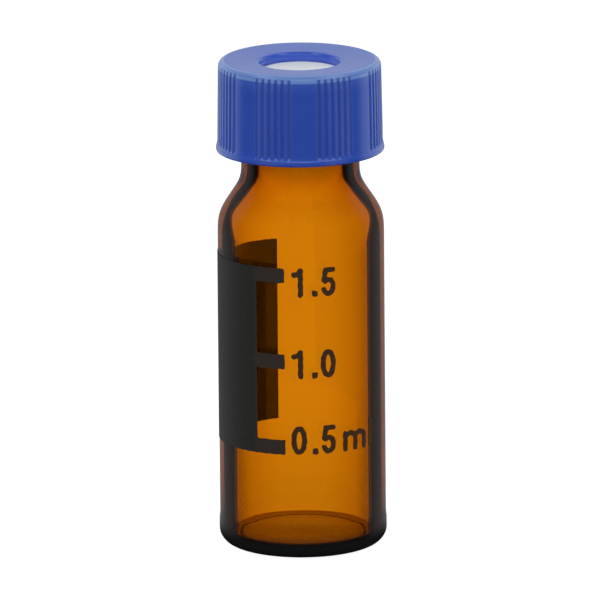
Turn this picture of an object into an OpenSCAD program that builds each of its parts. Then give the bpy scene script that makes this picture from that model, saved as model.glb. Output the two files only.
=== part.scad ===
// Small amber glass sample vial, closed by an open-top screw cap over a septum.
// Millimetres, +Z up. The origin is the middle of the base, and the scale faces the front, -Y.

/* [Vial body] */
// Outer diameter of the body
body_d = 11.6; // [11:0.1:12.5]
// Height of the glass from base to lip
glass_h = 32; // [31:0.5:45]
// Thickness of the side wall
wall_t = 1; // [0.7:0.05:1.3]
// Thickness of the floor above the standing ring
floor_t = 1; // [0.7:0.05:1.6]
// Rounding of the outer heel
heel_r = 1; // [0.5:0.1:1.5]
// Rounding between the wall and the floor inside
inner_heel_r = 0.7; // [0.3:0.1:1.2]
// Height of the hollow under the base, at its middle
push_up = 0.2; // [0.1:0.05:0.5]
// Width of the flat ring that the vial stands on
ring_w = 0.8; // [0.3:0.1:1.5]

/* [Shoulder and neck] */
// Outer diameter of the neck under its thread
neck_d = 8.24; // [7.8:0.02:9]
// Diameter of the bore through the neck
neck_bore_d = 6; // [5.4:0.1:6.6]
// Length of the straight neck, lip included
neck_h = 5.4; // [5.3:0.1:7]
// Slope of the shoulder, in degrees from upright
shoulder_a = 33.8; // [28:0.1:50]
// Rounding where the body turns into the shoulder
shoulder_r = 2.6; // [1.6:0.1:3]
// Rounding where the shoulder turns into the neck
neck_fillet_r = 1.7; // [0.8:0.1:2]
// Rounding of the lip
lip_r = 0.3; // [0.1:0.05:0.5]

/* [Thread] */
// Rise of the thread in one turn
pitch = 1.8; // [1.7:0.05:2]
// Height of the glass thread over the neck
thread_h = 0.38; // [0.3:0.02:0.46]
// Width of the glass thread where it leaves the neck
thread_w = 0.8; // [0.6:0.05:0.9]
// Turns of the glass thread
thread_turns = 1.35; // [1:0.05:1.4]
// Height of the cap's thread over the wall of its bore
cap_thread_h = 0.36; // [0.3:0.02:0.44]
// Width of the cap's thread where it leaves its bore
cap_thread_w = 0.6; // [0.4:0.05:0.6]
// Turns of the cap's thread
cap_thread_turns = 1.2; // [0.8:0.05:1.4]
// Angle by which the cap's thread starts after the glass thread, in degrees
cap_thread_start_a = 120; // [110:5:180]
// Room between the glass thread and the bore of the cap
thread_gap = 0.15; // [0.12:0.01:0.3]

/* [Cap] */
// Height of the cap
cap_h = 6.4; // [6:0.1:6.5]
// Thickness of the cap's skirt at the top, from its bore to its outside
skirt_t = 1.03; // [0.9:0.01:1.4]
// How much further out the skirt stands at its foot than at its top
skirt_draft = 0.08; // [0.02:0.01:0.12]
// Thickness of the cap's top wall
top_t = 0.8; // [0.6:0.05:1.4]
// Diameter of the hole in the cap's top wall
hole_d = 5.5; // [5:0.1:6]
// Rounding of the rim of the hole
hole_lip_r = 0.3; // [0.1:0.05:0.5]
// Rounding of the cap's top edge
top_edge_r = 0.45; // [0.2:0.05:0.6]
// Height of the flange at the foot of the cap
flange_h = 0.6; // [0.4:0.05:0.9]
// How far the flange stands out from the foot of the skirt
flange_w = 0.1; // [0.1:0.02:0.4]
// Height of the slope above the flange
flange_slope_h = 0.3; // [0.1:0.05:0.5]

/* [Cap grip] */
// Groups of grooves around the cap
groove_groups = 8; // [6:1:9]
// Grooves in each group
grooves_in_group = 6; // [3:1:6]
// Angle from one groove to the next in a group, in degrees
groove_step_a = 4.8; // [4.4:0.1:5.4]
// Width of a groove at the surface
groove_w = 0.28; // [0.16:0.02:0.34]
// Depth of a groove
groove_depth = 0.16; // [0.08:0.02:0.24]
// Angle from the front to the middle of the nearest plain face, in degrees
plain_face_a = 3; // [-20:0.5:20]

/* [Septum] */
// Thickness of the septum
septum_t = 1.7; // [1:0.1:2]
// Room between the edge of the septum and the bore of the cap
septum_gap = 0.15; // [0.1:0.01:0.2]
// How far the bead that keeps the septum in stands out from the bore
bead_w = 0.3; // [0.2:0.02:0.34]
// Height of the bead
bead_h = 0.3; // [0.2:0.05:0.4]

/* [Graduation] */
// Thickness of the enamel
enamel_t = 0.04; // [0.02:0.01:0.08]
// Height of the middle of the lowest mark
first_mark_z = 8.12; // [5:0.01:9]
// Rise from one mark to the next
mark_step = 6.13; // [4:0.01:6.5]
// Number of marks
mark_count = 3; // [2:1:3]
// Height of a mark
mark_h = 1.04; // [0.6:0.05:1.5]
// Angle from the front to the ends of the marks, in degrees
mark_end_a = 11.9; // [5:0.5:20]
// Angle from the front to the near edge of the patch, in degrees
patch_front_a = 32.6; // [25:0.5:60]
// Angle from the front to the far edge of the patch, in degrees
patch_back_a = 160.5; // [90:0.5:175]

/* [Hidden] */
$fn = 96;

// Steps of one rounded stretch of an outline, and flats in one turn of a thread
arc_steps = 10;
thread_steps = 36;
// How deep a thread's root sits in the wall that carries it
root_depth = 0.12;
// Angle over which a thread rises from the wall at each end, in degrees
run_in_a = 40;
// Overshoot of a cut past the face that it opens
cut = 0.5;

body_r = body_d / 2;
bore_r = body_r - wall_t;
neck_r = neck_d / 2;
neck_bore_r = neck_bore_d / 2;
neck_z = glass_h - neck_h;
// The shoulder is a straight slope between two roundings, all at one slope
slope_run = body_r - neck_r - (shoulder_r + neck_fillet_r) * (1 - cos(shoulder_a));
slope_rise = slope_run / tan(shoulder_a);
body_top_z = neck_z - slope_rise - (shoulder_r + neck_fillet_r) * sin(shoulder_a);

cap_bore_r = neck_r + thread_h + thread_gap;
cap_top_z = glass_h + septum_t + top_t;
cap_z = cap_top_z - cap_h;
cap_top_r = cap_bore_r + skirt_t;
cap_foot_r = cap_top_r + skirt_draft;
flange_r = cap_foot_r + flange_w;
septum_r = cap_bore_r - septum_gap;
bead_z = glass_h - bead_h;

// The glass thread ends just under the bead, and the cap's thread runs half a turn's rise below it
thread_z = bead_z - thread_w / 2 - pitch * thread_turns;
cap_thread_z = thread_z - pitch / 2 + pitch * cap_thread_start_a / 360;

patch_low_z = first_mark_z - mark_h / 2;
patch_h = mark_step * (mark_count - 1) + mark_h;

// Points on an arc about [r, z], from one angle to another
function arc(r, z, radius, from, to) = [
    for (i = [0:arc_steps])
        let (a = from + (to - from) * i / arc_steps) [r + radius * cos(a), z + radius * sin(a)]
];

// A shallow dome from the axis at height mid_z out to [edge_r, edge_z]
function dome(mid_z, edge_r, edge_z) = [
    for (i = [0:arc_steps])
        let (u = i / arc_steps) [edge_r * u, mid_z + (edge_z - mid_z) * u * u]
];

function reversed(points) = [for (i = [len(points) - 1:-1:0]) points[i]];

// A ridge that climbs around the axis. Its root is at root_r and its crest at crest_r, which is
// further out on a screw and further in on a nut. It sinks into the wall over run_in_a at each end.
module thread_ridge(root_r, crest_r, root_w, crest_w, low_z, turns, start_a) {
    n = round(turns * thread_steps);
    sunk_r = root_r + (root_r < crest_r ? -root_depth : root_depth);
    is_nut = root_r > crest_r;
    ring = [
        for (i = [0:n])
            let (
                turn_a = 360 * turns * i / n,
                a = start_a + turn_a,
                z = low_z + pitch * turns * i / n,
                rise = min(1, turn_a / run_in_a, (360 * turns - turn_a) / run_in_a),
                top_r = sunk_r + (crest_r - sunk_r) * (0.2 + 0.8 * rise)
            )
            [
                [sunk_r * cos(a), sunk_r * sin(a), z - root_w / 2],
                [top_r * cos(a), top_r * sin(a), z - crest_w / 2],
                [top_r * cos(a), top_r * sin(a), z + crest_w / 2],
                [sunk_r * cos(a), sunk_r * sin(a), z + root_w / 2]
            ]
    ];
    points = [for (r = ring) each r];
    sides = [
        for (i = [0:n - 1], k = [0:3])
            let (a = 4 * i + k, b = 4 * i + (k + 1) % 4) each [[a, b, b + 4], [a, b + 4, a + 4]]
    ];
    ends = [[3, 2, 1], [3, 1, 0], [4 * n, 4 * n + 1, 4 * n + 2], [4 * n, 4 * n + 2, 4 * n + 3]];
    faces = concat(sides, ends);
    polyhedron(points, is_nut ? [for (f = faces) reversed(f)] : faces);
}

// One revolved piece of glass with the thread on its neck
module vial_glass() {
    outside = concat(
        dome(push_up, body_r - heel_r - ring_w, 0),
        arc(body_r - heel_r, heel_r, heel_r, -90, 0),
        arc(body_r - shoulder_r, body_top_z, shoulder_r, 0, shoulder_a),
        arc(neck_r + neck_fillet_r, neck_z, neck_fillet_r, 180 + shoulder_a, 180),
        arc(neck_r - lip_r, glass_h - lip_r, lip_r, 0, 90)
    );
    neck_wall_t = neck_r - neck_bore_r;
    inside = concat(
        arc(neck_bore_r + lip_r, glass_h - lip_r, lip_r, 90, 180),
        arc(neck_r + neck_fillet_r, neck_z, neck_fillet_r + neck_wall_t, 180, 180 + shoulder_a),
        arc(body_r - shoulder_r, body_top_z, shoulder_r - wall_t, shoulder_a, 0),
        arc(bore_r - inner_heel_r, floor_t + inner_heel_r, inner_heel_r, 0, -90),
        reversed(dome(floor_t + push_up, bore_r - inner_heel_r - ring_w, floor_t))
    );
    color([0.8, 0.42, 0.05]) {
        rotate_extrude() polygon(concat(outside, inside));
        thread_ridge(neck_r, neck_r + thread_h, thread_w, thread_w / 2, thread_z, thread_turns, 0);
    }
}

// A band around the body from in_r to out_r, between two angles to the left of the front
module band(in_r, out_r, low_z, height, near_a, far_a) {
    rotate([0, 0, 270 - far_a])
        rotate_extrude(angle = far_a - near_a)
            translate([in_r, low_z]) square([out_r - in_r, height]);
}

// The enamel of the graduation, printed as one field: a patch with the marks at its near edge
module marking_patch() {
    color([0.17, 0.17, 0.17]) difference() {
        band(body_r, body_r + enamel_t, patch_low_z, patch_h, mark_end_a, patch_back_a);
        for (i = [0:mark_count - 2])
            band(body_r - cut, body_r + enamel_t + cut, patch_low_z + mark_step * i + mark_h,
                mark_step - mark_h, mark_end_a - 3, patch_front_a);
    }
}

// The soft disc that the cap presses on the lip
module septum() {
    color([0.93, 0.93, 0.91]) translate([0, 0, glass_h]) cylinder(h = septum_t, r = septum_r);
}

// One groove of the grip, as far out as the skirt's top and leaning with its draft
module groove() {
    cutter_r = (groove_depth * groove_depth + groove_w * groove_w / 4) / (2 * groove_depth);
    lean_a = atan(skirt_draft / (cap_h - flange_h));
    translate([cap_top_r - groove_depth + cutter_r, 0, cap_top_z])
        rotate([0, -lean_a, 0])
            translate([0, 0, -(cap_h - flange_h - flange_slope_h)])
                cylinder(h = cap_h, r = cutter_r, $fn = 32);
}

// The moulded cap: skirt, flange, top wall with its hole, bore, thread and bead
module screw_cap() {
    outline = [
        [flange_r - 0.08, cap_z],
        [flange_r, cap_z + 0.12],
        [flange_r, cap_z + flange_h - 0.1],
        [flange_r - 0.04, cap_z + flange_h],
        [cap_foot_r, cap_z + flange_h + flange_slope_h]
    ];
    profile = concat(
        outline,
        arc(cap_top_r - top_edge_r, cap_top_z - top_edge_r, top_edge_r, 0, 90),
        arc(hole_d / 2 + hole_lip_r, cap_top_z - hole_lip_r, hole_lip_r, 90, 180),
        [
            [hole_d / 2, glass_h + septum_t],
            [cap_bore_r, glass_h + septum_t],
            [cap_bore_r, bead_z + bead_h],
            [cap_bore_r - bead_w, bead_z + bead_h / 2],
            [cap_bore_r, bead_z],
            [cap_bore_r, cap_z]
        ]
    );
    group_a = 360 / groove_groups;
    first_groove_a = -90 + plain_face_a + (group_a - groove_step_a * (grooves_in_group - 1)) / 2;
    color([0.16, 0.28, 0.66]) {
        difference() {
            rotate_extrude() polygon(profile);
            for (g = [0:groove_groups - 1], k = [0:grooves_in_group - 1])
                rotate([0, 0, first_groove_a + group_a * g + groove_step_a * k]) groove();
        }
        thread_ridge(cap_bore_r, cap_bore_r - cap_thread_h, cap_thread_w, cap_thread_w / 2,
            cap_thread_z, cap_thread_turns, cap_thread_start_a);
    }
}

vial_glass();
marking_patch();
septum();
screw_cap();
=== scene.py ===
# %% [markdown]
# # A glass sample vial
# This lesson dresses a small laboratory vial: a body of amber glass with a screw neck, a printed
# scale, a soft white septum and a ribbed blue cap. The hard shapes and their sizes come from a
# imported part, the frame. Every piece made here stands for one piece of that frame, and takes its
# sizes from it.

# %% Open the frame
import math
import bmesh
import bpy
import numpy as np
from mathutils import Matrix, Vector


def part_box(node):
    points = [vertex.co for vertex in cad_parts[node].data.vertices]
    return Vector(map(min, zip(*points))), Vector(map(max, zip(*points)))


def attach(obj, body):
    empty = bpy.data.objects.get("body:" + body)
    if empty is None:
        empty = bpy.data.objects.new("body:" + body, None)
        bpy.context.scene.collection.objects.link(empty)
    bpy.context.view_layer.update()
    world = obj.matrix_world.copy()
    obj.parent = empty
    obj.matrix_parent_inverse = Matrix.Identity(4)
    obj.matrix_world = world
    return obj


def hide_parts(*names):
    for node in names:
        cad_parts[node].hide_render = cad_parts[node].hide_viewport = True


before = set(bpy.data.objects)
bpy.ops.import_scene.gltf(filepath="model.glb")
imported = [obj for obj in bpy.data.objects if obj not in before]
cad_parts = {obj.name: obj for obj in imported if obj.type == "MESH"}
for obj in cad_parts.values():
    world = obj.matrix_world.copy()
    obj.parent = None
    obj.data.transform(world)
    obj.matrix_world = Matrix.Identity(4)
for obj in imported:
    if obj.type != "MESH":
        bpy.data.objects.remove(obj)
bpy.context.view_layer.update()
print("the frame holds", sorted(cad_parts))

# %% [markdown]
# ## Sizes
# The frame gives the outer sizes. What it can't give as a box, such as a wall or a fillet, is a
# named value here, in millimetres, as the part's maker would write it on a drawing.

# %% Sizes from the frame
MM = 0.001
glass_low, glass_high = (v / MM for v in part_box("vial_glass"))
cap_low, cap_high = (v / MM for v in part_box("screw_cap"))
septum_low, septum_high = (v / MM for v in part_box("septum"))
patch_low, patch_high = (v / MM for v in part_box("marking_patch"))

body_r = glass_high.x                   # outside of the glass body
glass_h = glass_high.z                  # from the bench to the lip
septum_top = septum_high.z
septum_r = septum_high.x
cap_z, cap_top = cap_low.z, cap_high.z
flange_r = (cap_high.x - cap_low.x) / 2
print(f"body {2 * body_r:.2f} mm across, glass {glass_h:.2f} mm tall, cap top at {cap_top:.2f} mm")

# %% [markdown]
# ## Helpers for turned shapes
# Glass tube, cap and septum are all turned or moulded round one axis. A profile of radius and
# height, swept round in fine steps, gives each of them, and a function may push the surface in or
# out where a thread or a groove runs. The rows and the steps are fine enough to shade smoothly.

# %% Arcs and straight runs
def arc(r, z, radius, start, end, steps=10):
    """Points on an arc about (r, z), between two angles in degrees."""
    a = np.radians(np.linspace(start, end, steps + 1))
    return [(r + radius * math.cos(t), z + radius * math.sin(t)) for t in a]


def run(start, end, pitch):
    """Points between two profile points, not counting them, about a pitch apart."""
    n = max(1, int(math.hypot(end[0] - start[0], end[1] - start[1]) / pitch))
    return [(start[0] + (end[0] - start[0]) * i / n, start[1] + (end[1] - start[1]) * i / n)
            for i in range(1, n)]


print(len(arc(0, 0, 1, 0, 90)), "points on a quarter turn")

# %% [markdown]
# ## Meshes from a profile
# A sweep puts one copy of the profile at every angle and joins neighbours with four-sided faces.
# Where the profile touches the axis its points fall together, so they are merged, and the normals
# are turned outwards, because glass is shaded by what lies on either side of its surface.

# %% Swept meshes
def new_piece(name, points, faces):
    """A smooth mesh object from points in millimetres."""
    mesh = bpy.data.meshes.new(name)
    mesh.from_pydata((np.asarray(points) * MM).tolist(), [], faces)
    bm = bmesh.new()
    bm.from_mesh(mesh)
    bmesh.ops.remove_doubles(bm, verts=bm.verts, dist=1e-8)
    bmesh.ops.recalc_face_normals(bm, faces=bm.faces)
    bm.to_mesh(mesh)
    bm.free()
    mesh.polygons.foreach_set("use_smooth", [True] * len(mesh.polygons))
    piece = bpy.data.objects.new(name, mesh)
    bpy.context.scene.collection.objects.link(piece)
    print(f"{name}: {len(mesh.polygons)} faces")
    return piece


def turned(name, profile, angles, shape=None, closed=False):
    """A profile of (radius, height) swept round Z; shape(radius, height, angle) may move it."""
    r, z = np.array(profile, float).T
    grid_r, grid_a = np.meshgrid(r, angles, indexing="ij")
    grid_z = np.repeat(z[:, None], len(angles), 1)
    if shape:
        grid_r = shape(grid_r, grid_z, grid_a)
    points = np.stack([grid_r * np.cos(grid_a), grid_r * np.sin(grid_a), grid_z], -1).reshape(-1, 3)
    rows, cols = grid_r.shape
    faces = []
    for i in range(rows if closed else rows - 1):
        low, high = i * cols, ((i + 1) % rows) * cols
        faces += [(low + j, low + (j + 1) % cols, high + (j + 1) % cols, high + j)
                  for j in range(cols)]
    return new_piece(name, points, faces)


def even_angles(count):
    """Angles all the way round, as many as asked for."""
    return np.linspace(0, 2 * math.pi, count, endpoint=False)


print(f"256 steps round are {math.degrees(even_angles(256)[1]):.2f} degrees apart")

# %% [markdown]
# ## Thread shape
# A moulded thread is a low ridge that climbs one pitch in a turn. Seen as a height over the wall it
# is a rounded trapezium, and it sinks into the wall over a short stretch at both ends.

# %% A thread as a height over the wall
PITCH = 1.8                             # rise in one turn


def smooth(x):
    """0 to 1 with soft ends."""
    x = np.clip(x, 0, 1)
    return x * x * (3 - 2 * x)


def thread_height(z, angle, low_z, turns, start, height, root_w, run_in=math.radians(40)):
    """Height of a ridge over the wall at a height z and an angle round the axis."""
    out = np.zeros_like(z)
    for lap in range(-1, int(turns) + 2):
        turn = np.mod(angle - start, 2 * math.pi) + 2 * math.pi * lap
        inside = (turn >= 0) & (turn <= 2 * math.pi * turns)
        rise = smooth(np.minimum(turn, 2 * math.pi * turns - turn) / run_in)
        middle = low_z + PITCH * turn / (2 * math.pi)
        flank = 1 - smooth((np.abs(z - middle) - root_w * 0.22) / (root_w * 0.32))
        out = np.maximum(out, np.where(inside, height * rise * flank, 0))
    return out


print(f"a thread climbs {PITCH} mm in a turn")

# %% [markdown]
# ## The glass
# The vial is drawn from a tube: an even wall, a shoulder worked in on a wheel, a neck pressed with
# its thread, and a base closed in the flame, which leaves a rounded heel and a slightly hollow
# underside. One closed surface, outside and inside, is what lets light bend as in real glass.

# %% Sizes of the glass
WALL, FLOOR = 1.0, 0.8
HEEL_R, INNER_HEEL_R, PUSH_UP, RING_W = 1.0, 0.35, 0.2, 0.8
NECK_R, NECK_BORE_R, NECK_H = 4.12, 3.0, 5.4
SHOULDER_R, SHOULDER_A, NECK_FILLET_R, LIP_R = 2.6, 33.8, 1.7, 0.3
THREAD_H, THREAD_W, THREAD_TURNS, BEAD_H = 0.38, 0.8, 1.35, 0.3

neck_z = glass_h - NECK_H
bend = math.radians(SHOULDER_A)
roundings = SHOULDER_R + NECK_FILLET_R
slope_run = body_r - NECK_R - roundings * (1 - math.cos(bend))
body_top = neck_z - slope_run / math.tan(bend) - roundings * math.sin(bend)
bead_z = glass_h - BEAD_H
thread_z = bead_z - THREAD_W / 2 - PITCH * THREAD_TURNS
print(f"the straight body ends at {body_top:.2f} mm")

# %% Profile of the glass
def dome(mid_z, edge_r, edge_z, steps=12):
    """A shallow dome from the axis at mid_z out to its edge."""
    u = np.linspace(0, 1, steps + 1)
    return [(edge_r * t, mid_z + (edge_z - mid_z) * float(smooth(t))) for t in u]


neck_wall = NECK_R - NECK_BORE_R
dome_r = body_r - HEEL_R - RING_W
outside = dome(PUSH_UP, dome_r, 0) + arc(body_r - HEEL_R, HEEL_R, HEEL_R, -90, 0, 16)
outside += run(outside[-1], (body_r, body_top), 0.25)
outside += arc(body_r - SHOULDER_R, body_top, SHOULDER_R, 0, SHOULDER_A, 16)
outside += arc(NECK_R + NECK_FILLET_R, neck_z, NECK_FILLET_R, 180 + SHOULDER_A, 180, 12)
outside += run(outside[-1], (NECK_R, glass_h - LIP_R), 0.06)
outside += arc(NECK_R - LIP_R, glass_h - LIP_R, LIP_R, 0, 90)
inside = arc(NECK_BORE_R + LIP_R, glass_h - LIP_R, LIP_R, 90, 180)
inside += run(inside[-1], (NECK_BORE_R, neck_z), 0.3)
inside += arc(NECK_R + NECK_FILLET_R, neck_z, NECK_FILLET_R + neck_wall, 180, 180 + SHOULDER_A, 12)
inside += arc(body_r - SHOULDER_R, body_top, SHOULDER_R - WALL, SHOULDER_A, 0, 12)
bore_r = body_r - WALL
inside += run(inside[-1], (bore_r, FLOOR + INNER_HEEL_R), 0.5)
inside += arc(bore_r - INNER_HEEL_R, FLOOR + INNER_HEEL_R, INNER_HEEL_R, 0, -90, 12)
inside += dome(FLOOR + PUSH_UP, dome_r, FLOOR)[::-1]
print(f"{len(outside)} rows outside and {len(inside)} inside, drawn in plain arcs")

# %% [markdown]
# ## An eased shoulder
# The shoulder is rolled while the glass is soft, so on the real vial one curve melts into the next.
# Arcs drawn end to end would show a line in the highlight wherever two of them meet. The profile
# is therefore cut into short even steps there, and smoothed a few times.

# %% Eased shoulder
EASE_FROM, EASE_TO, EASE_PITCH, EASE_PASSES = 1.6, 1.2, 0.1, 30


def eased(profile):
    """The profile with its shoulder resampled and smoothed, so that one curve melts into the next."""
    r, z = np.array(profile, float).T
    there = (z > body_top - EASE_FROM) & (z < neck_z + EASE_TO)
    first, last = np.nonzero(there)[0][[0, -1]]
    along = np.concatenate([[0], np.cumsum(np.hypot(np.diff(r), np.diff(z)))])
    steps = np.arange(along[first], along[last], EASE_PITCH)
    points = np.stack([np.interp(steps, along, r), np.interp(steps, along, z)], 1)
    for _ in range(EASE_PASSES):
        points[1:-1] = (points[:-2] + 2 * points[1:-1] + points[2:]) / 4
    return profile[:first] + [tuple(q) for q in points] + profile[last + 1:]


outside, inside = eased(outside), eased(inside)
print(f"{len(outside)} rows outside and {len(inside)} inside, once eased")

# %% [markdown]
# ## Glass surface
# A tube that was closed in the flame swells by a hair just above its heel, and the pressed thread
# stands out of the neck. Both are small changes of radius, so one function adds them to the sweep.

# %% The vial glass
HEEL_SWELL, SWELL_START, SWELL_TOP, SWELL_FADE = 0.05, 1.2, 2.2, 0.5


def worked_glass(r, z, angle):
    """The swell over the heel and the thread on the neck."""
    wall = r > body_r - 0.5 * WALL
    fade = 1 - smooth((z - SWELL_TOP + SWELL_FADE) / SWELL_FADE)
    swell = HEEL_SWELL * fade * smooth(z / SWELL_START)
    ridge = thread_height(z, angle, thread_z, THREAD_TURNS, 0, THREAD_H, THREAD_W)
    neck = (np.abs(r - NECK_R) < 1e-6) & (z > neck_z)
    return r + np.where(wall, swell, 0) + np.where(neck, ridge, 0)


vial = turned("vial_glass_look", outside + inside, even_angles(256), worked_glass)
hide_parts("vial_glass")
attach(vial, "vial")

# %% [markdown]
# ## Helpers for finishes
# A finish is a tree of nodes, each of which hands a value or a colour on to the next. These helpers
# make a material, fill the inputs of a node by name, and lay noise over a piece. The noise is
# measured in features per millimetre, so a grain keeps its real size on every piece.

# %% Shader helpers
def shader(name):
    """A material with its node tree, its Principled shader and its output."""
    material = bpy.data.materials.new(name)
    material.use_nodes = True
    tree = material.node_tree
    return material, tree, tree.nodes["Principled BSDF"], tree.nodes["Material Output"]


def feed(tree, socket, value):
    """Link an input to another socket, or set it to a plain value."""
    if isinstance(value, bpy.types.NodeSocket):
        tree.links.new(value, socket)
    else:
        socket.default_value = value


def fill(tree, target, **values):
    """Feed several inputs of a node by name, with _ for a space."""
    for key, value in values.items():
        feed(tree, target.inputs[key.replace("_", " ")], value)


def node(tree, kind, **values):
    """A new node with some of its inputs filled."""
    new = tree.nodes.new("ShaderNode" + kind)
    fill(tree, new, **values)
    return new


kinds = [name for name in dir(bpy.types) if name.startswith("ShaderNode")]
print(len(kinds), "kinds of shader node to choose from")

# %% Noise and bump
def on_piece(tree):
    """The place of a point in the piece's own coordinates."""
    return node(tree, "TexCoord").outputs["Object"]


def noise_texture(tree, scale, detail=3, stretch=(1, 1, 1)):
    """Noise over the piece, with a scale in features per millimetre."""
    size = node(tree, "Mapping", Vector=on_piece(tree), Scale=[scale * s / MM for s in stretch])
    return node(tree, "TexNoise", Vector=size.outputs["Vector"], Scale=1, Detail=detail, Roughness=0.55)


def bump(tree, bsdf, texture, strength, distance):
    """Raise a surface by a texture, by a distance in millimetres."""
    raised = node(tree, "Bump", Strength=strength, Distance=distance * MM, Height=texture.outputs["Fac"])
    fill(tree, bsdf, Normal=raised.outputs["Normal"])


def report(material):
    """Print how many nodes a material is made of."""
    print(f"{material.name}: {len(material.node_tree.nodes)} nodes")


print(f"a grain of 6 to the millimetre is {1 / 6:.2f} mm wide")

# %% [markdown]
# ## Amber glass
# Amber glass takes its brown from iron and sulphur in the melt: it lets red through, some green and
# next to no blue, so the colour deepens with the thickness. That is what a volume does in the
# shader, where a tinted surface would be as dark in a thin wall as in a thick one. The surface is
# clear and fire-polished, with the slow ripple along it that drawn tube always has.

# %% Amber glass
GLASS_IOR, PASSES, DENSITY = 1.52, (0.937, 0.747, 0.0, 1), 3000
amber, tree, bsdf, out = shader("amber_glass")
fill(tree, bsdf, Base_Color=(1, 1, 1, 1), IOR=GLASS_IOR, Transmission_Weight=1.0)
absorb = node(tree, "VolumeAbsorption", Color=PASSES, Density=DENSITY)
fill(tree, out, Volume=absorb.outputs["Volume"])
bump(tree, bsdf, noise_texture(tree, 0.12, 1, (1, 1, 0.15)), 0.3, 0.02)
critical_a = math.degrees(math.asin(1 / GLASS_IOR))
print(f"light that meets the air beyond {critical_a:.1f} degrees stays in the glass")

# %% [markdown]
# ## Where a point of the glass lies
# The look of the wall changes from place to place. So the shader first needs numbers that say where
# a point lies: how high, how far from the axis, and how far the surface turns from the eye. A level
# turns such a number into a soft step between two values, and arithmetic joins the steps.

# %% Levels and arithmetic
def level(tree, source, low, high, to_low=0.0, to_high=1.0, kind="LINEAR"):
    """Map a value from one range to another."""
    new = node(tree, "MapRange", From_Min=low, From_Max=high, To_Min=to_low, To_Max=to_high, Value=source)
    new.interpolation_type = kind
    return new.outputs["Result"]


def span(tree, source, low, high, *to, **kind):
    """A level whose range is in millimetres."""
    return level(tree, source, low * MM, high * MM, *to, **kind)


def maths(tree, operation, first, *others):
    """One kind of arithmetic down a row of sockets and numbers."""
    for other in others:
        new = node(tree, "Math")
        new.operation = operation
        feed(tree, new.inputs[0], first)
        feed(tree, new.inputs[1], other)
        first = new.outputs[0]
    return first


print(f"a quarter of the way, a linear level is at 0.25 and a smooth one at {smooth(0.25):.2f}")

# %% Distance, angle and facing
def split(tree, vector):
    """The parts of a vector, as sockets named X, Y and Z."""
    return node(tree, "SeparateXYZ", Vector=vector).outputs


def from_axis(tree):
    """The distance of a point from the axis."""
    length = node(tree, "VectorMath")
    length.operation = "LENGTH"
    flat = node(tree, "Mapping", Vector=on_piece(tree), Scale=(1, 1, 0))
    feed(tree, length.inputs[0], flat.outputs["Vector"])
    return length.outputs["Value"]


def turned_to(tree):
    """The angle of a point round the axis, from the front, in radians."""
    parts = split(tree, on_piece(tree))
    return maths(tree, "ARCTAN2", parts["X"], maths(tree, "MULTIPLY", parts["Y"], -1))


def from_angle(degrees):
    """The facing value of a surface seen at an angle from its normal."""
    return 1 - math.cos(math.radians(degrees))


print(f"a surface seen at {critical_a:.1f} degrees has a facing value of {from_angle(critical_a):.3f}")

# %% Places on the glass
inside_glass = node(tree, "NewGeometry").outputs["Backfacing"]
turned_away = node(tree, "LayerWeight", Blend=0.5).outputs["Facing"]
z, radius = split(tree, on_piece(tree))["Z"], from_axis(tree)
wall_middle = span(tree, z, body_top, neck_z,
                   (body_r - WALL / 2) * MM, (NECK_R + NECK_BORE_R) / 2 * MM)
on_bore = maths(tree, "LESS_THAN", radius, wall_middle)
over_base = span(tree, z, 0.4, 0.8)
off_slope = maths(tree, "MAXIMUM", span(tree, z, body_top - 1.4, body_top - 0.4, 1, 0),
                  span(tree, z, neck_z - 1, neck_z))
on_slope = maths(tree, "MULTIPLY", span(tree, z, body_top - 0.6, body_top + 0.8),
                 span(tree, z, neck_z - 1, neck_z, 1, 0))
print(f"the shoulder runs from {body_top:.2f} to {neck_z:.2f} mm")

# %% [markdown]
# ## Walls that grow dim
# Light that meets the inside of the wall at a slant loses a little in every pass, and low down it
# crosses more glass. So the wall gets painted shade that grows slowly towards its sides, and a little
# near the base. These numbers say how much painted shade a point gets: 0 leaves the glass clear and
# 1 lets nothing through.

# %% Walls that grow dim
SLOW_DIM, LOW_DIM, NEAR_DIM = 0.25, 0.13, 0.2


def past(start, end, *to, **kind):
    """A level over the angle at which the glass is seen, in degrees."""
    return level(tree, turned_away, from_angle(start), from_angle(end), *to, **kind)


# painted shade on the wall, growing slowly towards its sides and near the base
dims = maths(tree, "ADD", past(16, 38, 0, SLOW_DIM), span(tree, z, 12, 5, 0, LOW_DIM),
             maths(tree, "MULTIPLY", past(31, 38.2, 0, NEAR_DIM), off_slope))
dims = maths(tree, "MULTIPLY", dims, over_base)
print(f"the upright wall dims by up to {SLOW_DIM + NEAR_DIM:.2f} before its dark band")

# %% [markdown]
# ## Bands that block the light
# Light that meets the inside of the wall at more than about 41 degrees can't pass into the air of
# the bore. It is thrown sideways, to where the room is dark, and so dark lines run down the sides
# of real glassware. Here these bands are painted shade. A band starts brown, where the last light
# has a long way through the amber, and turns black. The shoulder leans, so its band starts later,
# and in the base it starts late too.

# %% Bands that block the light
BROWN_A, BLACK_A, BASE_A, SLOPE_A, BROWN_DIM = (38.3, 39.3), (39, 41.2), (60, 61), 42.1, 0.9
later = maths(tree, "MULTIPLY", on_slope, from_angle(SLOPE_A) - from_angle(BLACK_A[0]))
black, brown = [], []
for base_a, black_a, brown_a in zip(BASE_A, BLACK_A, BROWN_A):
    limit = level(tree, over_base, 0, 1, from_angle(base_a), from_angle(black_a))
    black.append(maths(tree, "ADD", limit, later))
    brown.append(maths(tree, "SUBTRACT", black[-1], from_angle(black_a) - from_angle(brown_a)))
# painted shade: the dark bands, brown and then black, down the sides of the glass
blocks = maths(tree, "MAXIMUM", level(tree, turned_away, *brown, 0, BROWN_DIM),
               level(tree, turned_away, *black, kind="SMOOTHSTEP"))
band_r = [body_r * math.sin(math.radians(a)) for a in BLACK_A]
print(f"a band turns black from {band_r[0]:.2f} to {band_r[1]:.2f} mm beside the axis")
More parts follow.
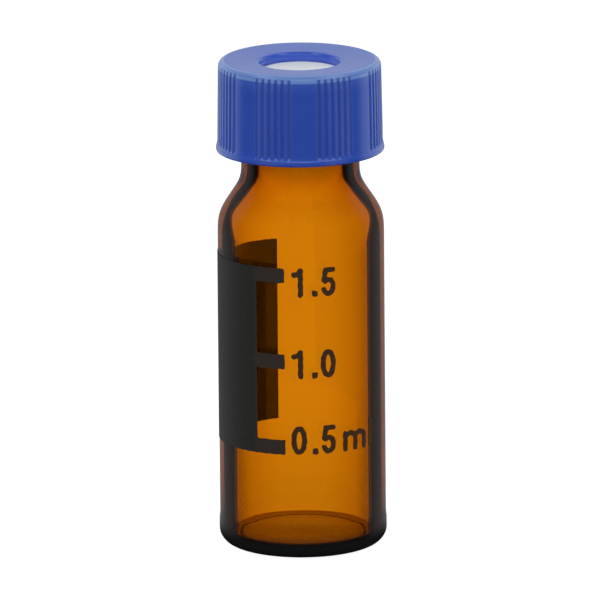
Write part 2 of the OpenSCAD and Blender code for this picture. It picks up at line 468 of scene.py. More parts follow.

# %% [markdown]
# ## The clear edge
# At the very edge the light slips round inside the wall and out again, so the glass is clear there,
# except in the thick base. The neck is thicker for its width and keeps its painted band for longer.
# Its top also gets painted shade, the shadow of the cap.

# %% Clear edge and shaded neck
WALL_CLEAR_A, SLOPE_CLEAR_A, NECK_CLEAR_A, CLEAR_EASE = 48.3, 46.7, 53, 0.015
EDGE_DIM, NECK_SHADE = 0.6, 0.5
in_neck = span(tree, z, body_top, neck_z)
in_base = span(tree, z, 1.2, 5.0, 1, EDGE_DIM)
clears_at = maths(tree, "ADD",
                  level(tree, in_neck, 0, 0.25, from_angle(WALL_CLEAR_A) - from_angle(SLOPE_CLEAR_A), 0),
                  level(tree, in_neck, 0.25, 0.85, from_angle(SLOPE_CLEAR_A), from_angle(NECK_CLEAR_A)))
edge = level(tree, turned_away, clears_at, maths(tree, "ADD", clears_at, CLEAR_EASE), 1, 0)
band = maths(tree, "MULTIPLY", blocks, maths(tree, "MAXIMUM", edge, in_base))
in_wall = maths(tree, "MULTIPLY", maths(tree, "MAXIMUM", dims, band), on_bore)
# painted shadow of the cap on the top of the neck
shade = span(tree, z, neck_z - 1, neck_z + 1.4, 0, NECK_SHADE, kind="SMOOTHSTEP")
from_inside = maths(tree, "MULTIPLY", maths(tree, "MAXIMUM", in_wall, shade), inside_glass)
print(f"the body's wall is clear beyond {WALL_CLEAR_A} degrees, the neck's beyond {NECK_CLEAR_A}")

# %% [markdown]
# ## Heel, inner corner and underside
# Round the thick heel there is no way for the light, so it is painted dark from outside too, as
# painted shade. The tight corner between the wall and the floor gets a thin painted dark ring of
# shade. The ring that the vial stands on is slightly rough, because it has slid over many benches.

# %% Heel, inner corner and underside
RING_DIM, UNDERSIDE_ROUGH = 0.85, 0.3
outer_skin = maths(tree, "MAXIMUM", span(tree, radius, bore_r + 0.05, bore_r + 0.15),
                   span(tree, z, FLOOR - 0.1, FLOOR - 0.05, 1, 0))
# painted shade round the thick heel, seen from outside
heel = maths(tree, "MULTIPLY", span(tree, z, 0.85, 1.8, 1, 0), outer_skin)
from_outside = maths(tree, "MULTIPLY", heel, maths(tree, "SUBTRACT", 1, inside_glass))
# painted shade: a thin dark ring in the inner corner
corner = maths(tree, "MULTIPLY", span(tree, radius, bore_r - 0.59, bore_r - 0.51),
               span(tree, radius, bore_r - 0.36, bore_r - 0.3, RING_DIM, 0),
               span(tree, z, FLOOR - 0.1, FLOOR - 0.05), span(tree, z, FLOOR + 0.4, FLOOR + 0.5, 1, 0))
fill(tree, bsdf, Roughness=span(tree, z, 0.3, 0.5, UNDERSIDE_ROUGH, 0))
print(f"the dark corner lies {bore_r - 0.59:.2f} to {bore_r - 0.3:.2f} mm from the axis")

# %% [markdown]
# ## Glass under the ink
# Ink is fired into the glass, so there is no air between them and the glass can't mirror there: one
# looks through the wall at the dark back of the ink. The patch made below has to lie 0.003 mm off
# the glass, so that two surfaces don't share one place. So the glass itself is painted dark under the
# patch, in the same outline: partly the ink's own dark colour, partly painted shade in place of the
# light that the glass would pass and mirror there.

# %% Glass under the ink
PATCH_FRONT_A, PATCH_BACK_A = -32.6, -160.5
SAG_START_A, END_SAG = -95, 0.42
side = turned_to(tree)
ink_top = level(tree, side, math.radians(PATCH_BACK_A), math.radians(SAG_START_A),
                (patch_high.z - END_SAG) * MM, patch_high.z * MM, kind="SMOOTHSTEP")
# painted dark under the patch: the ink's dark back and painted shade
under_ink = maths(tree, "MULTIPLY", inside_glass,
                  maths(tree, "GREATER_THAN", side, math.radians(PATCH_BACK_A)),
                  maths(tree, "LESS_THAN", side, math.radians(PATCH_FRONT_A)),
                  maths(tree, "GREATER_THAN", z, patch_low.z * MM),
                  maths(tree, "LESS_THAN", z, ink_top),
                  maths(tree, "GREATER_THAN", radius, (body_r - 0.1) * MM))
print(f"ink covers {PATCH_FRONT_A - PATCH_BACK_A:.0f} degrees of the body")

# %% [markdown]
# ## Dark and clear together
# The darkest of the numbers decides. It mixes a plain dark surface, the painted shade, into the
# clear one, where a darker glass colour would also tint the light that the wall does pass.

# %% Dark and clear together
def linear(*srgb):
    """An sRGB colour of 0 to 255 as the linear colour that a shader takes."""
    return [c / 255 / 12.92 if c <= 10 else ((c / 255 + 0.055) / 1.055) ** 2.4 for c in srgb] + [1]


def mixed(tree, factor, first, second):
    """One shader turning into another as a factor rises."""
    new = node(tree, "MixShader", Fac=factor)
    feed(tree, new.inputs[1], first.outputs[0])
    feed(tree, new.inputs[2], second.outputs[0])
    return new.outputs[0]


dark = maths(tree, "MAXIMUM", from_inside, from_outside, corner, under_ink)
# the dark surface that carries all of the painted shade on the glass
dim = node(tree, "BsdfPrincipled", Base_Color=linear(42, 42, 42), Roughness=0.5, Specular_IOR_Level=0.0)
fill(tree, out, Surface=mixed(tree, dark, bsdf, dim))
vial.data.materials.append(amber)
report(amber)

# %% [markdown]
# ## The print
# The scale is ceramic ink, screened on the round glass and fired, so it is a skin a few hundredths
# of a millimetre thick, with soft corners and edges that aren't quite straight. A field is drawn
# flat as a distance to its edge, cut out of a grid where that distance is zero, and wrapped round
# the body. The same way serves the patch, its marks and the numbers.

# %% Fields of ink
def box_field(u, z, low, high, corner=0.12):
    """Distance to a box with rounded corners; low and high are (u, z)."""
    middle = [(a + b) / 2 for a, b in zip(low, high)]
    half = [(b - a) / 2 - corner for a, b in zip(low, high)]
    du, dz = np.abs(u - middle[0]) - half[0], np.abs(z - middle[1]) - half[1]
    return np.hypot(np.maximum(du, 0), np.maximum(dz, 0)) + np.minimum(np.maximum(du, dz), 0) - corner


FAR_OFF = 9.0                           # a distance beyond any figure


def stroke_field(u, z, points, width):
    """Distance to a pen stroke of some width through a row of points."""
    out = np.full(u.shape, FAR_OFF)
    for (au, az), (bu, bz) in zip(points, points[1:]):
        eu, ez = bu - au, bz - az
        t = np.clip(((u - au) * eu + (z - az) * ez) / (eu * eu + ez * ez + 1e-12), 0, 1)
        out = np.minimum(out, np.hypot(u - au - t * eu, z - az - t * ez))
    return out - width / 2


EDGE_WAVER = 0.012


def ink_edge(u, z):
    """A fixed waver of the edge, as a screen leaves it."""
    return EDGE_WAVER * (np.sin(9 * u + 4 * np.sin(3 * z)) + np.sin(11 * z + 5 * np.sin(4 * u)))


print(f"the edge of the ink wavers by up to {2 * EDGE_WAVER} mm")

# %% [markdown]
# ## From a field to a skin
# A square of the grid that lies inside the field is kept whole, and one that the edge crosses is
# cut along it. The same flat pieces are then wrapped round the body twice, at two radii, and a
# narrow wall joins the two skins wherever a piece has no neighbour.

# %% Wrapping the ink
def printed(name, u, z, field, low_r, high_r):
    """A skin wrapped round the glass wherever field(u, z) is below zero; u runs to the right."""
    grid_u, grid_z = np.meshgrid(u, z, indexing="ij")
    d = field(grid_u, grid_z) + ink_edge(grid_u, grid_z)
    index, corners, faces = {}, [], []

    def vertex(key, corner):
        if key not in index:
            index[key] = len(corners)
            corners.append(corner)
        return index[key]

    for i, j in zip(*np.nonzero((np.minimum(d[:-1, :-1], d[1:, 1:]) < 0)
                                | (np.minimum(d[1:, :-1], d[:-1, 1:]) < 0))):
        square = [(i, j), (i + 1, j), (i + 1, j + 1), (i, j + 1)]
        face = []
        for a, b in zip(square, square[1:] + square[:1]):
            if d[a] < 0:
                face.append(vertex(a, (u[a[0]], z[a[1]])))
            if (d[a] < 0) != (d[b] < 0):
                t = d[a] / (d[a] - d[b])
                face.append(vertex(frozenset((a, b)), (u[a[0]] + t * (u[b[0]] - u[a[0]]),
                                                       z[a[1]] + t * (z[b[1]] - z[a[1]]))))
        faces.append(face)
    edges = {(a, b) for face in faces for a, b in zip(face, face[1:] + face[:1])}
    count = len(corners)
    walls = [(a, b, b + count, a + count) for a, b in edges if (b, a) not in edges]
    upper = [tuple(v + count for v in face) for face in faces]
    lower = [tuple(reversed(face)) for face in faces]
    points = [(r * math.sin(pu / body_r), -r * math.cos(pu / body_r), pz)
              for r in (low_r, high_r) for pu, pz in corners]
    return new_piece(name, points, lower + upper + sorted(walls))

# %% [markdown]
# ## The patch and its marks
# The dark patch is the write-on field that wraps round the left and the back. Its near edge carries
# the three marks of the scale, half a millilitre apart. Its top sags a little at the far end, where
# the screen left the round of the glass.

# %% Shape of the patch
FIRST_MARK_Z, MARK_STEP, MARK_H = 8.12, 6.13, 1.04
MARK_END_A, PATCH_CORNER, MARK_CORNER = -11.9, 0.2, 0.06
INK_GAP, INK_T = 0.003, 0.04


def around(angle):
    """Length along the round of the body to an angle from the front."""
    return body_r * math.radians(angle)


def patch_field(u, z):
    """Distance to the patch and its three marks; its top sags towards the far end."""
    sag = END_SAG * smooth((around(SAG_START_A) - u) / around(SAG_START_A - PATCH_BACK_A))
    sagged = z + sag * (z - patch_low.z) / (patch_high.z - patch_low.z)
    field = box_field(u, sagged, (around(PATCH_BACK_A), patch_low.z),
                      (around(PATCH_FRONT_A), patch_high.z), PATCH_CORNER)
    for i in range(3):
        middle = FIRST_MARK_Z + MARK_STEP * i
        mark = box_field(u, z, (around(PATCH_FRONT_A) - 1, middle - MARK_H / 2),
                         (around(MARK_END_A), middle + MARK_H / 2), MARK_CORNER)
        field = np.minimum(field, mark)
    return field


print(f"marks at {', '.join(f'{FIRST_MARK_Z + MARK_STEP * i:.2f}' for i in range(3))} mm")

# %% The marking patch
def lines(edges, reach, fine, coarse, low, high):
    """Grid lines that are close together near some edges and wide apart between them."""
    close = [np.arange(e - reach, e + reach, fine) for e in edges]
    wide = [x for x in np.arange(low, high, coarse) if min(abs(x - e) for e in edges) > reach]
    return np.unique(np.concatenate(close + [wide]))


mark_edges = [FIRST_MARK_Z + MARK_STEP * i + s * MARK_H / 2 for i in range(3) for s in (-1, 1)]
patch_u = lines([around(a) for a in (PATCH_BACK_A, PATCH_FRONT_A, MARK_END_A)], 0.25, 0.05, 0.15,
                around(PATCH_BACK_A), around(MARK_END_A))
patch_z = lines(mark_edges, 0.2, 0.05, 0.3, patch_low.z, patch_high.z)
sag_z = np.arange(patch_high.z - END_SAG - 0.3, patch_high.z + 0.03, 0.06)
patch_z = np.unique(np.concatenate([patch_z, sag_z]))
patch = printed("marking_patch_look", patch_u, patch_z, patch_field, body_r + INK_GAP, body_r + INK_T)
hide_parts("marking_patch")
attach(patch, "vial")

# %% [markdown]
# ## The numbers
# The numbers stand to the right of their marks. Each is a few pen strokes of one width, which is
# how a plain lettering of this kind is built.

# %% Strokes of the numbers
FIGURE_H, FIGURE_W, PEN = 2.04, 1.1, 0.36
POINT_W, POINT_H, POINT_CORNER = 0.4, 0.42, 0.08


def bow(u, z, half_u, half_z, start, end, steps=20):
    """Points on part of an ellipse."""
    return [(u + half_u * math.cos(t), z + half_z * math.sin(t))
            for t in np.radians(np.linspace(start, end, steps + 1))]


p, w, h = PEN / 2, FIGURE_W, FIGURE_H
STROKES = {
    "0": [bow(w / 2, h / 2, w / 2 - p, h / 2 - p, 0, 360, 36)],
    "1": [[(0.62, p - 0.05), (0.62, h - p)], [(0.62, h - p), (0.42, h - 0.44), (p - 0.02, h - 0.48)]],
    "5": [[(w - p - 0.06, h - p), (0.32, h - p), (0.22, 1.12)],
          bow(w / 2 - 0.03, 0.68, w / 2 - p - 0.02, 0.5, 130, -155)],
    "m": [[(p, p), (p, 1.28)], [(1.02, p), (1.02, 1.0)], [(1.83, p), (1.83, 1.0)],
          bow(0.6, 0.96, 0.42, 0.32, 0, 180), bow(1.425, 0.96, 0.405, 0.32, 0, 180)],
    "l": [[(p, p), (p, h - p)]],
}


def figure_field(u, z, text, left, low):
    """The field of one line of figures, each with its left edge."""
    out = np.full(u.shape, FAR_OFF)
    for figure, offset in zip(text, left):
        if figure == ".":
            point = box_field(u, z, (offset, low), (offset + POINT_W, low + POINT_H), POINT_CORNER)
            out = np.minimum(out, point)
            continue
        for stroke in STROKES[figure]:
            out = np.minimum(out, stroke_field(u - offset, z - low, stroke, PEN))
    return out


print("figures drawn:", *STROKES)

# %% The numbers
FIGURES = [("1.5", (-0.69, 0.73, 1.38), 18.9), ("1.0", (-0.72, 0.7, 1.3), 13.07),
           ("0.5ml", (-0.78, 0.7, 1.32, 2.94, 5.3), 7.62)]


def numbers_field(u, z):
    """Distance to the nearest of all the figures."""
    field = np.full(u.shape, FAR_OFF)
    for text, left, low in FIGURES:
        field = np.minimum(field, figure_field(u, z, text, left, low))
    return field


GRID = 0.04
numbers_u = np.arange(-0.9, 5.9, GRID)
numbers_z = np.concatenate([np.arange(low - 0.1, low + FIGURE_H + 0.15, GRID) for _, _, low in FIGURES])
numbers = printed("print_numbers", numbers_u, numbers_z, numbers_field, body_r + INK_GAP, body_r + INK_T)
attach(numbers, "vial")

# %% [markdown]
# ## Fired ink
# Fired ceramic ink is a dark, slightly rough glass of its own. Fine noise in its colour and its
# height keeps it from looking like paint on a screen. Its inner side, seen only through the glass,
# is painted much darker than its face, as painted shade, and where it is printed thin, in the marks
# and the numbers, the amber of the glass below warms its colour.

# %% Colours from a value
def two_tone(tree, source, first, second, start=0.0, end=1.0):
    """A colour that turns from one into another as a value rises."""
    ramp = node(tree, "ValToRGB", Fac=source)
    for element, place, colour in zip(ramp.color_ramp.elements, (start, end), (first, second)):
        element.position, element.color = place, colour
    return ramp.outputs["Color"]


def blended(tree, factor, first, second):
    """One colour turning into another as a factor rises."""
    new = node(tree, "Mix")
    new.data_type = "RGBA"
    for index, value in zip((0, 6, 7), (factor, first, second)):
        feed(tree, new.inputs[index], value)
    return new.outputs[2]


def scaled(tree, colour, factor):
    """A colour made darker by a factor."""
    new = node(tree, "VectorMath")
    new.operation = "SCALE"
    feed(tree, new.inputs[0], colour)
    feed(tree, new.inputs["Scale"], factor)
    return new.outputs["Vector"]


print(f"an sRGB grey of 66 is {linear(66)[0]:.3f} in linear light")

# %% Charcoal enamel
WARMER = ((PATCH_FRONT_A - 3, PATCH_FRONT_A, linear(90, 77, 69)),
          (MARK_END_A, MARK_END_A + 2, linear(110, 75, 46)))
enamel, tree, bsdf, out = shader("charcoal_enamel")
grain = noise_texture(tree, 6, 4)
ink = two_tone(tree, grain.outputs["Fac"], linear(66, 66, 65), linear(79, 79, 77), 0.3, 0.75)
side = turned_to(tree)
for low_a, high_a, warmer in WARMER:
    ink = blended(tree, level(tree, side, math.radians(low_a), math.radians(high_a)), ink, warmer)
# painted shade: the inner side of the ink is a tenth as bright as its face
face = span(tree, from_axis(tree), body_r + 0.3 * INK_T, body_r + 0.7 * INK_T, 0.1, 1)
fill(tree, bsdf, Base_Color=scaled(tree, ink, face), Roughness=0.45)
bump(tree, bsdf, grain, 0.25, 0.01)
for piece in (patch, numbers):
    piece.data.materials.append(enamel)
report(enamel)

# %% [markdown]
# ## The septum
# The septum is a soft disc, silicone over a thin film, that the cap squeezes on the lip. The
# squeeze makes its free middle bulge up by a few hundredths of a millimetre.

# %% The septum disc
SEPTUM_EDGE_R, CROWN, CROWN_W, TOP_ROWS = 0.12, 0.05, 2.0, 24
hole_r = 2.75
flat_r = septum_r - SEPTUM_EDGE_R
disc = [(r, septum_low.z) for r in (0, 1.5, 3, 4.2)]
disc += arc(flat_r, septum_low.z + SEPTUM_EDGE_R, SEPTUM_EDGE_R, -90, 0, 6)
disc += arc(flat_r, septum_top - SEPTUM_EDGE_R, SEPTUM_EDGE_R, 0, 90, 6)
for i in range(1, TOP_ROWS + 1):
    row_r = flat_r - flat_r * i / TOP_ROWS
    disc.append((row_r, septum_top + CROWN * float(smooth((hole_r - 0.1 - row_r) / CROWN_W))))
septum = turned("septum_look", disc, even_angles(128))
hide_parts("septum")
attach(septum, "septum")

# %% [markdown]
# ## White silicone
# Silicone is a soft, milky rubber with hardly any shine. A faint cloud of two whites and a very fine
# grain are enough: a disc that small shows no more, and a flat white would look like paper.

# %% White silicone
silicone, tree, bsdf, out = shader("white_septum")
cloud = noise_texture(tree, 1.2, 3)
fill(tree, bsdf, Roughness=0.6,
     Base_Color=two_tone(tree, cloud.outputs["Fac"], linear(216, 211, 213), linear(231, 226, 230)))
bump(tree, bsdf, noise_texture(tree, 9, 3), 0.3, 0.01)
septum.data.materials.append(silicone)
report(silicone)

# %% [markdown]
# ## The cap
# The cap is moulded in one piece: a skirt with eight groups of fine grip grooves, a small flange at
# its foot, a rounded rim and a round hole with a soft lip. Inside are a bead that snaps under the
# septum and the thread. The grooves are cut in the mould with a round tool, so each is a shallow
# rounded channel that runs out in the rim.

# %% Cap profile
THREAD_GAP, CAP_BEAD_W, CAP_BEAD_H = 0.15, 0.3, 0.3
SKIRT_T, SKIRT_DRAFT, FLANGE_H, FLANGE_SLOPE = 1.03, 0.08, 0.44, 0.3
FLANGE_EDGE_R, FLANGE_TOP_R, FLANGE_TOP_H = 0.12, 0.1, 0.25
TOP_EDGE_R, HOLE_LIP_R, DISH, FLAT_RIM_W = 0.45, 0.28, 0.12, 0.1
CAP_THREAD_H, CAP_THREAD_W, CAP_THREAD_TURNS, CAP_THREAD_START = 0.36, 0.6, 1.2, math.radians(120)

cap_bore_r = NECK_R + THREAD_H + THREAD_GAP
rim_r = cap_bore_r + SKIRT_T
foot_r = rim_r + SKIRT_DRAFT
shelf_z = cap_z + FLANGE_H
grip_z = shelf_z + FLANGE_SLOPE
cap_thread_z = thread_z - PITCH / 2 + PITCH * CAP_THREAD_START / (2 * math.pi)

skin = arc(flange_r - FLANGE_EDGE_R, cap_z + FLANGE_EDGE_R, FLANGE_EDGE_R, -90, 0, 4)
skin += [(flange_r - FLANGE_TOP_R + FLANGE_TOP_R * math.cos(t),
          shelf_z - FLANGE_TOP_H + FLANGE_TOP_H * math.sin(t)) for t in np.radians(np.linspace(0, 70, 8))]
skin += [(foot_r + 0.03, shelf_z + 0.08), (foot_r + 0.008, shelf_z + 0.18), (foot_r, grip_z)]
skin += run((foot_r, grip_z), (rim_r, cap_top - TOP_EDGE_R), 0.3)
skin += arc(rim_r - TOP_EDGE_R, cap_top - TOP_EDGE_R, TOP_EDGE_R, 0, 90, 12)
dish_r, lip_z = rim_r - TOP_EDGE_R - FLAT_RIM_W, cap_top - DISH
skin += [(dish_r + (hole_r + HOLE_LIP_R - dish_r) * t, cap_top - DISH * t) for t in np.linspace(0, 0.95, 8)]
skin += arc(hole_r + HOLE_LIP_R, lip_z - HOLE_LIP_R, HOLE_LIP_R, 90, 180, 10)
skin += run(skin[-1], (hole_r, septum_top), 0.2) + [(hole_r, septum_top), (cap_bore_r, septum_top)]
skin += run((cap_bore_r, septum_top), (cap_bore_r, bead_z + CAP_BEAD_H), 0.3)
skin += [(cap_bore_r - CAP_BEAD_W * math.sin(t), bead_z + CAP_BEAD_H / 2 * (1 + math.cos(t)))
         for t in np.linspace(0, math.pi, 9)]
skin += run(skin[-1], (cap_bore_r, cap_z), 0.07)
skin += [(cap_bore_r, cap_z), (cap_bore_r + 0.3, cap_z)]
print(f"skirt {2 * foot_r:.2f} mm across at its foot, bore {2 * cap_bore_r:.2f} mm, {len(skin)} rows")

# %% The screw cap
GROUPS, IN_GROUP, STEP_A, PLAIN_FACE_A = 8, 6, 4.8, 3.0
GROOVE_W, GROOVE_DEPTH, GROOVE_START, GROOVE_RUN_IN = 0.4, 0.075, 0.04, 0.12
group_a = 360 / GROUPS
first_a = -90 + PLAIN_FACE_A + (group_a - STEP_A * (IN_GROUP - 1)) / 2
groove_angles = np.radians([first_a + group_a * g + STEP_A * k
                            for g in range(GROUPS) for k in range(IN_GROUP)])


def moulded_cap(r, z, angle):
    """Grooves in the skirt and the thread in the bore."""
    apart = np.exp(1j * (angle[0][:, None] - groove_angles[None, :]))
    nearest = np.min(np.abs(np.angle(apart)), 1)
    off_middle = nearest[None, :] * rim_r / (GROOVE_W / 2)
    channel = np.clip(1 - off_middle ** 2, 0, 1) ** 2
    run_in = smooth((z - shelf_z - GROOVE_START) / GROOVE_RUN_IN)
    skirt_r = rim_r + SKIRT_DRAFT * (cap_top - z) / (cap_top - shelf_z)
    outer = (r > rim_r - TOP_EDGE_R) & (z > shelf_z)
    cut = np.where(outer, np.minimum(r, skirt_r - GROOVE_DEPTH * channel) - r, 0)
    cut = cut * run_in * (channel > 0)
    ridge = thread_height(z, angle, cap_thread_z, CAP_THREAD_TURNS, CAP_THREAD_START,
                          CAP_THREAD_H, CAP_THREAD_W)
    bore = (np.abs(r - cap_bore_r) < 1e-6) & (z < bead_z)
    return r + cut - np.where(bore, ridge, 0)


cap = turned("screw_cap_look", skin, even_angles(900), moulded_cap, closed=True)
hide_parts("screw_cap")
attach(cap, "cap")

# %% [markdown]
# ## Blue plastic
# The cap is polypropylene coloured right through: a strong blue with a satin surface that the mould
# left. A fine, low grain breaks up the sheen, and the sheen itself comes from the plain reflection
# that every smooth plastic has.

# %% Blue polypropylene
PLASTIC_IOR, SATIN, SHEEN_LEVEL = 1.49, 0.27, 0.9
plastic, tree, bsdf, out = shader("blue_plastic")
flow = noise_texture(tree, 0.8, 4)
blue = two_tone(tree, flow.outputs["Fac"], linear(46, 87, 206), linear(53, 94, 216))
fill(tree, bsdf, Roughness=SATIN, IOR=PLASTIC_IOR, Specular_IOR_Level=SHEEN_LEVEL)
bump(tree, bsdf, noise_texture(tree, 12, 3), 0.2, 0.004)
print("blue from", [round(c, 3) for c in linear(46, 87, 206)[:3]])

# %% [markdown]
# ## Darker grooves
# Little light gets down into a groove as narrow as these, and less than a render with a few bounces
# finds by itself. How deep a point lies under the plain skirt is its distance from the axis, less
# than the skirt's at that height, so that depth darkens the blue.

# %% Darker grooves
GROOVE_DARK, SHALLOW, INNER = 0.2, 0.02, (0.3, 0.35)
z, radius = split(tree, on_piece(tree))["Z"], from_axis(tree)
sunk = maths(tree, "SUBTRACT", span(tree, z, shelf_z, cap_top, foot_r * MM, rim_r * MM), radius)
on_skirt = maths(tree, "MULTIPLY", span(tree, z, cap_top - 0.2, cap_top - 0.3),
                 span(tree, sunk, *INNER, 1, 0))
hollow = maths(tree, "MULTIPLY", span(tree, sunk, SHALLOW, GROOVE_DEPTH, 0, GROOVE_DARK), on_skirt)
grooved = scaled(tree, blue, maths(tree, "SUBTRACT", 1, hollow))
print(f"the bottom of a groove is {GROOVE_DARK:.0%} darker")

# %% [markdown]
# ## Paler rim
# The rounded rim mirrors the bright room above it, far more than a few soft lamps give back. So a
# paler tone is painted on it, a painted reflection of that room, which follows the height, starts at
# the rounding and stays off the grooves: they still run out in the rim as dark lines.

# %% Paler rim
RIM_H, RIM_IN, FAINT_H, FAINT, RIDGE_PALE = 0.6, (0.46, 0.36), 1.3, 0.13, 0.8
# painted reflection: a paler blue on the rounded rim and a faint trace down the skirt
rim_reflection_colour = two_tone(tree, span(tree, z, cap_top - RIM_H, cap_top),
                linear(132, 172, 248), linear(118, 150, 226), 0.25, 0.7)
up = maths(tree, "MAXIMUM", span(tree, z, cap_top - RIM_H, cap_top - 0.42, kind="SMOOTHSTEP"),
           span(tree, z, cap_top - FAINT_H, cap_top - RIM_H, 0, FAINT))
outwards = span(tree, radius, rim_r - RIM_IN[0], rim_r - RIM_IN[1], kind="SMOOTHSTEP")
in_groove = maths(tree, "MULTIPLY", span(tree, sunk, SHALLOW, 0.06, 0, RIDGE_PALE), on_skirt)
rim = maths(tree, "MULTIPLY", up, outwards, maths(tree, "SUBTRACT", 1, in_groove))
fill(tree, bsdf, Base_Color=blended(tree, rim, grooved, rim_reflection_colour))
cap.data.materials.append(plastic)
report(plastic)

# %% [markdown]
# ## The table
# The vial stands on a white table, a plain square that is far larger than the view. It takes the
# vial's shadow. A glossy wall would throw the table back as a white glare, so glossy rays don't see
# it. Through the glass, near the foot, the table glows with a painted shadow of dark amber, where
# the vial shades it.

# %% The table
FLOOR_HALF = 1.5
corners = [(x * FLOOR_HALF, y * FLOOR_HALF, 0) for x, y in ((-1, -1), (1, -1), (1, 1), (-1, 1))]
floor_mesh = bpy.data.meshes.new("floor")
floor_mesh.from_pydata(corners, [], [(0, 1, 2, 3)])
floor = bpy.data.objects.new("floor", floor_mesh)
bpy.context.scene.collection.objects.link(floor)
floor.visible_glossy = False
print(f"table {2 * FLOOR_HALF} m square")

# %% White table
TABLE_WHITE, TABLE_GLOW = 0.85, 0.92
paper, tree, bsdf, out = shader("white_table")
seen = node(tree, "LightPath").outputs
fill(tree, bsdf, Base_Color=[TABLE_WHITE] * 3 + [1], Roughness=1, Specular_IOR_Level=0,
     Emission_Color=(1, 1, 1, 1),
     Emission_Strength=maths(tree, "MULTIPLY", seen["Is Camera Ray"], TABLE_GLOW))
print(f"the table reflects {TABLE_WHITE:.0%} and glows by {TABLE_GLOW} for the eye")

# %% The table through the glass
THROUGH_GLASS, SHADOW_UNDER_GLASS, SHADED = 0.97, (0.35, 0.22, 0.15, 1), (7.8, 8.1)
spot = split(tree, node(tree, "NewGeometry").outputs["Position"])
cubes = [maths(tree, "POWER", maths(tree, "ABSOLUTE", spot[axis], 0), 3) for axis in "XY"]
away = span(tree, maths(tree, "POWER", maths(tree, "ADD", *cubes), 1 / 3), *SHADED)
# painted shadow: seen through the glass, the table near the foot glows dark amber
tint = two_tone(tree, away, SHADOW_UNDER_GLASS, [THROUGH_GLASS] * 3 + [1])
glow = node(tree, "Emission", Color=tint)
fill(tree, out, Surface=mixed(tree, seen["Is Transmission Ray"], bsdf, glow))
floor_mesh.materials.append(paper)
report(paper)

# %% [markdown]
# ## The room
# What glass and gloss show is their surroundings, so the room matters as much as the lamps. The eye
# sees plain white. Glossy rays see a room that is dark in front, dim white behind and darker below,
# which gives the shapes their edges. Soft light comes from all round, and hardly any from above.

# %% The room
WAY_BACK, BACK_GLOSS, BELOW = (0.0, 0.45), 0.25, (-0.7, -0.3)
FRONT_SOFT, OVERHEAD, OVERHEAD_SOFT = 0.8, (0.1, 0.65), 0.08
world = bpy.data.worlds.new("room")
world.use_nodes = True
tree = world.node_tree
ray = node(tree, "LightPath").outputs
way = split(tree, node(tree, "TexCoord").outputs["Generated"])
backdrop = maths(tree, "MULTIPLY", level(tree, way["Y"], *WAY_BACK, 0, BACK_GLOSS, kind="SMOOTHSTEP"),
                 level(tree, way["Z"], *BELOW, 0.25, 1))
around_it = maths(tree, "MULTIPLY", level(tree, way["Y"], -0.8, 0.8, FRONT_SOFT, 1.0, kind="SMOOTHSTEP"),
                  level(tree, way["Z"], *OVERHEAD, 1, OVERHEAD_SOFT))
glossy = maths(tree, "MULTIPLY", ray["Is Glossy Ray"], backdrop)
diffuse = maths(tree, "MULTIPLY", maths(tree, "SUBTRACT", 1, ray["Is Glossy Ray"]), around_it)
plain = maths(tree, "MAXIMUM", ray["Is Camera Ray"],
              maths(tree, "MULTIPLY", ray["Is Transmission Ray"], THROUGH_GLASS))
fill(tree, tree.nodes["Background"], Color=(1, 1, 1, 1),
     Strength=maths(tree, "MAXIMUM", plain, maths(tree, "ADD", glossy, diffuse)))
bpy.context.scene.world = world
print(f"room: {len(tree.nodes)} nodes")

# %% [markdown]
# ## The lamps
# Soft boxes stand in pairs on both sides, and single ones in front, above and behind. They light
# only the cap and the septum: on clear glass each would leave a bright mark of its own, where glass
# in a white room shows none. One more lamp lights the septum alone, at the bottom of its hole.

# %% A soft lamp
LAMP_COLOUR, LAMP_AIM, FAR, NEAR = (0.88, 1.0, 1.0), Vector((0, 0, 0.02)), 0.4, 0.12
on_the_cap = bpy.data.collections.new("on_the_cap")
on_the_septum = bpy.data.collections.new("on_the_septum")
for piece in (cap, septum):
    on_the_cap.objects.link(piece)
on_the_septum.objects.link(septum)


def look_at(thing, aim):
    """Turn a lamp or a camera from its place towards a point."""
    thing.rotation_euler = (aim - thing.location).to_track_quat("-Z", "Y").to_euler()


def lamp(name, azimuth, elevation, distance, size, power, size_y=None):
    """A soft lamp that looks at the cap, set by its angle from the front and its height angle."""
    data = bpy.data.lights.new(name, "AREA")
    data.shape, data.size, data.size_y = "RECTANGLE", size, size_y or size
    data.energy, data.color = power, LAMP_COLOUR
    new = bpy.data.objects.new(name, data)
    a, e = math.radians(azimuth), math.radians(elevation)
    way = Vector((math.sin(a) * math.cos(e), -math.cos(a) * math.cos(e), math.sin(e)))
    new.location = LAMP_AIM + distance * way
    look_at(new, LAMP_AIM)
    new.light_linking.receiver_collection = on_the_cap
    bpy.context.scene.collection.objects.link(new)
    return new


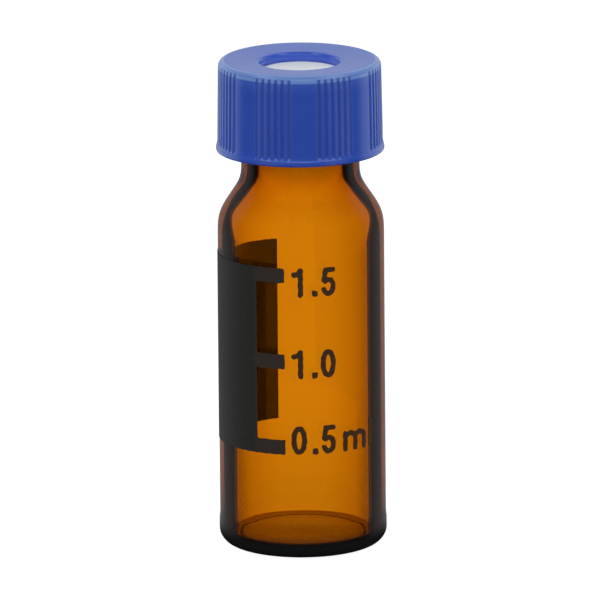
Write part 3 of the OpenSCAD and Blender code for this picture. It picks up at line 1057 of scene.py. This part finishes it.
# %% The lamps
for hand, turn in (("left", -1), ("right", 1)):
    lamp(hand + "_lamp", 85 * turn, 60, FAR, 0.12, 0.12)
    lamp(hand + "_card", 125 * turn, 0, FAR, 0.5, 0.4, 0.4)
    lamp(hand + "_key", 50 * turn, 38, FAR, 0.1, 0.12)
    lamp(hand + "_strip", 45 * turn + 3, -6, NEAR, 0.06, 0.004, 0.03)
lamp("front_lamp", 0, 40, FAR, 0.3, 0.25, 0.12)
lamp("top_lamp", 180, 80, FAR, 0.4, 0.1, 0.25)
lamp("high_card", 180, 44, FAR, 0.4, 0.15, 0.15)
lamp("back_card", 180, 14, FAR, 0.3, 0.125)
lamp("disc_lamp", 0, 75, FAR, 0.1, 0.5).light_linking.receiver_collection = on_the_septum
print(len(bpy.data.lights), "lamps")

# %% [markdown]
# ## The camera
# A long lens from a metre away keeps the upright lines upright, as in a catalogue picture. It looks
# slightly down, so that the top of the cap and the septum are in sight, and leans by half a degree.

# %% The camera
CAMERA_AIM, VIEW_DISTANCE, VIEW_DOWN, LEAN = Vector((0, 0, 17.1 * MM)), 1.0, 13.7, 0.467
camera_data = bpy.data.cameras.new("camera")
camera_data.lens, camera_data.sensor_width = 860.3, 36
camera_data.clip_start, camera_data.clip_end = 0.05, 20
camera_data.shift_x, camera_data.shift_y = -0.0024, 0.004
camera = bpy.data.objects.new("camera", camera_data)
tilt = math.radians(VIEW_DOWN)
camera.location = CAMERA_AIM + VIEW_DISTANCE * Vector((0, -math.cos(tilt), math.sin(tilt)))
look_at(camera, CAMERA_AIM)
camera.rotation_euler.rotate_axis("Z", -math.radians(LEAN))
bpy.context.scene.collection.objects.link(camera)
bpy.context.scene.camera = camera
print(f"camera at {tuple(round(v, 3) for v in camera.location)} m")

# %% [markdown]

# %% [markdown]
# ## Finish
# The Standard view shows colours as they were set, without a film curve that would grey the whites.

# %% Finish
bpy.context.scene.view_settings.view_transform = "Standard"
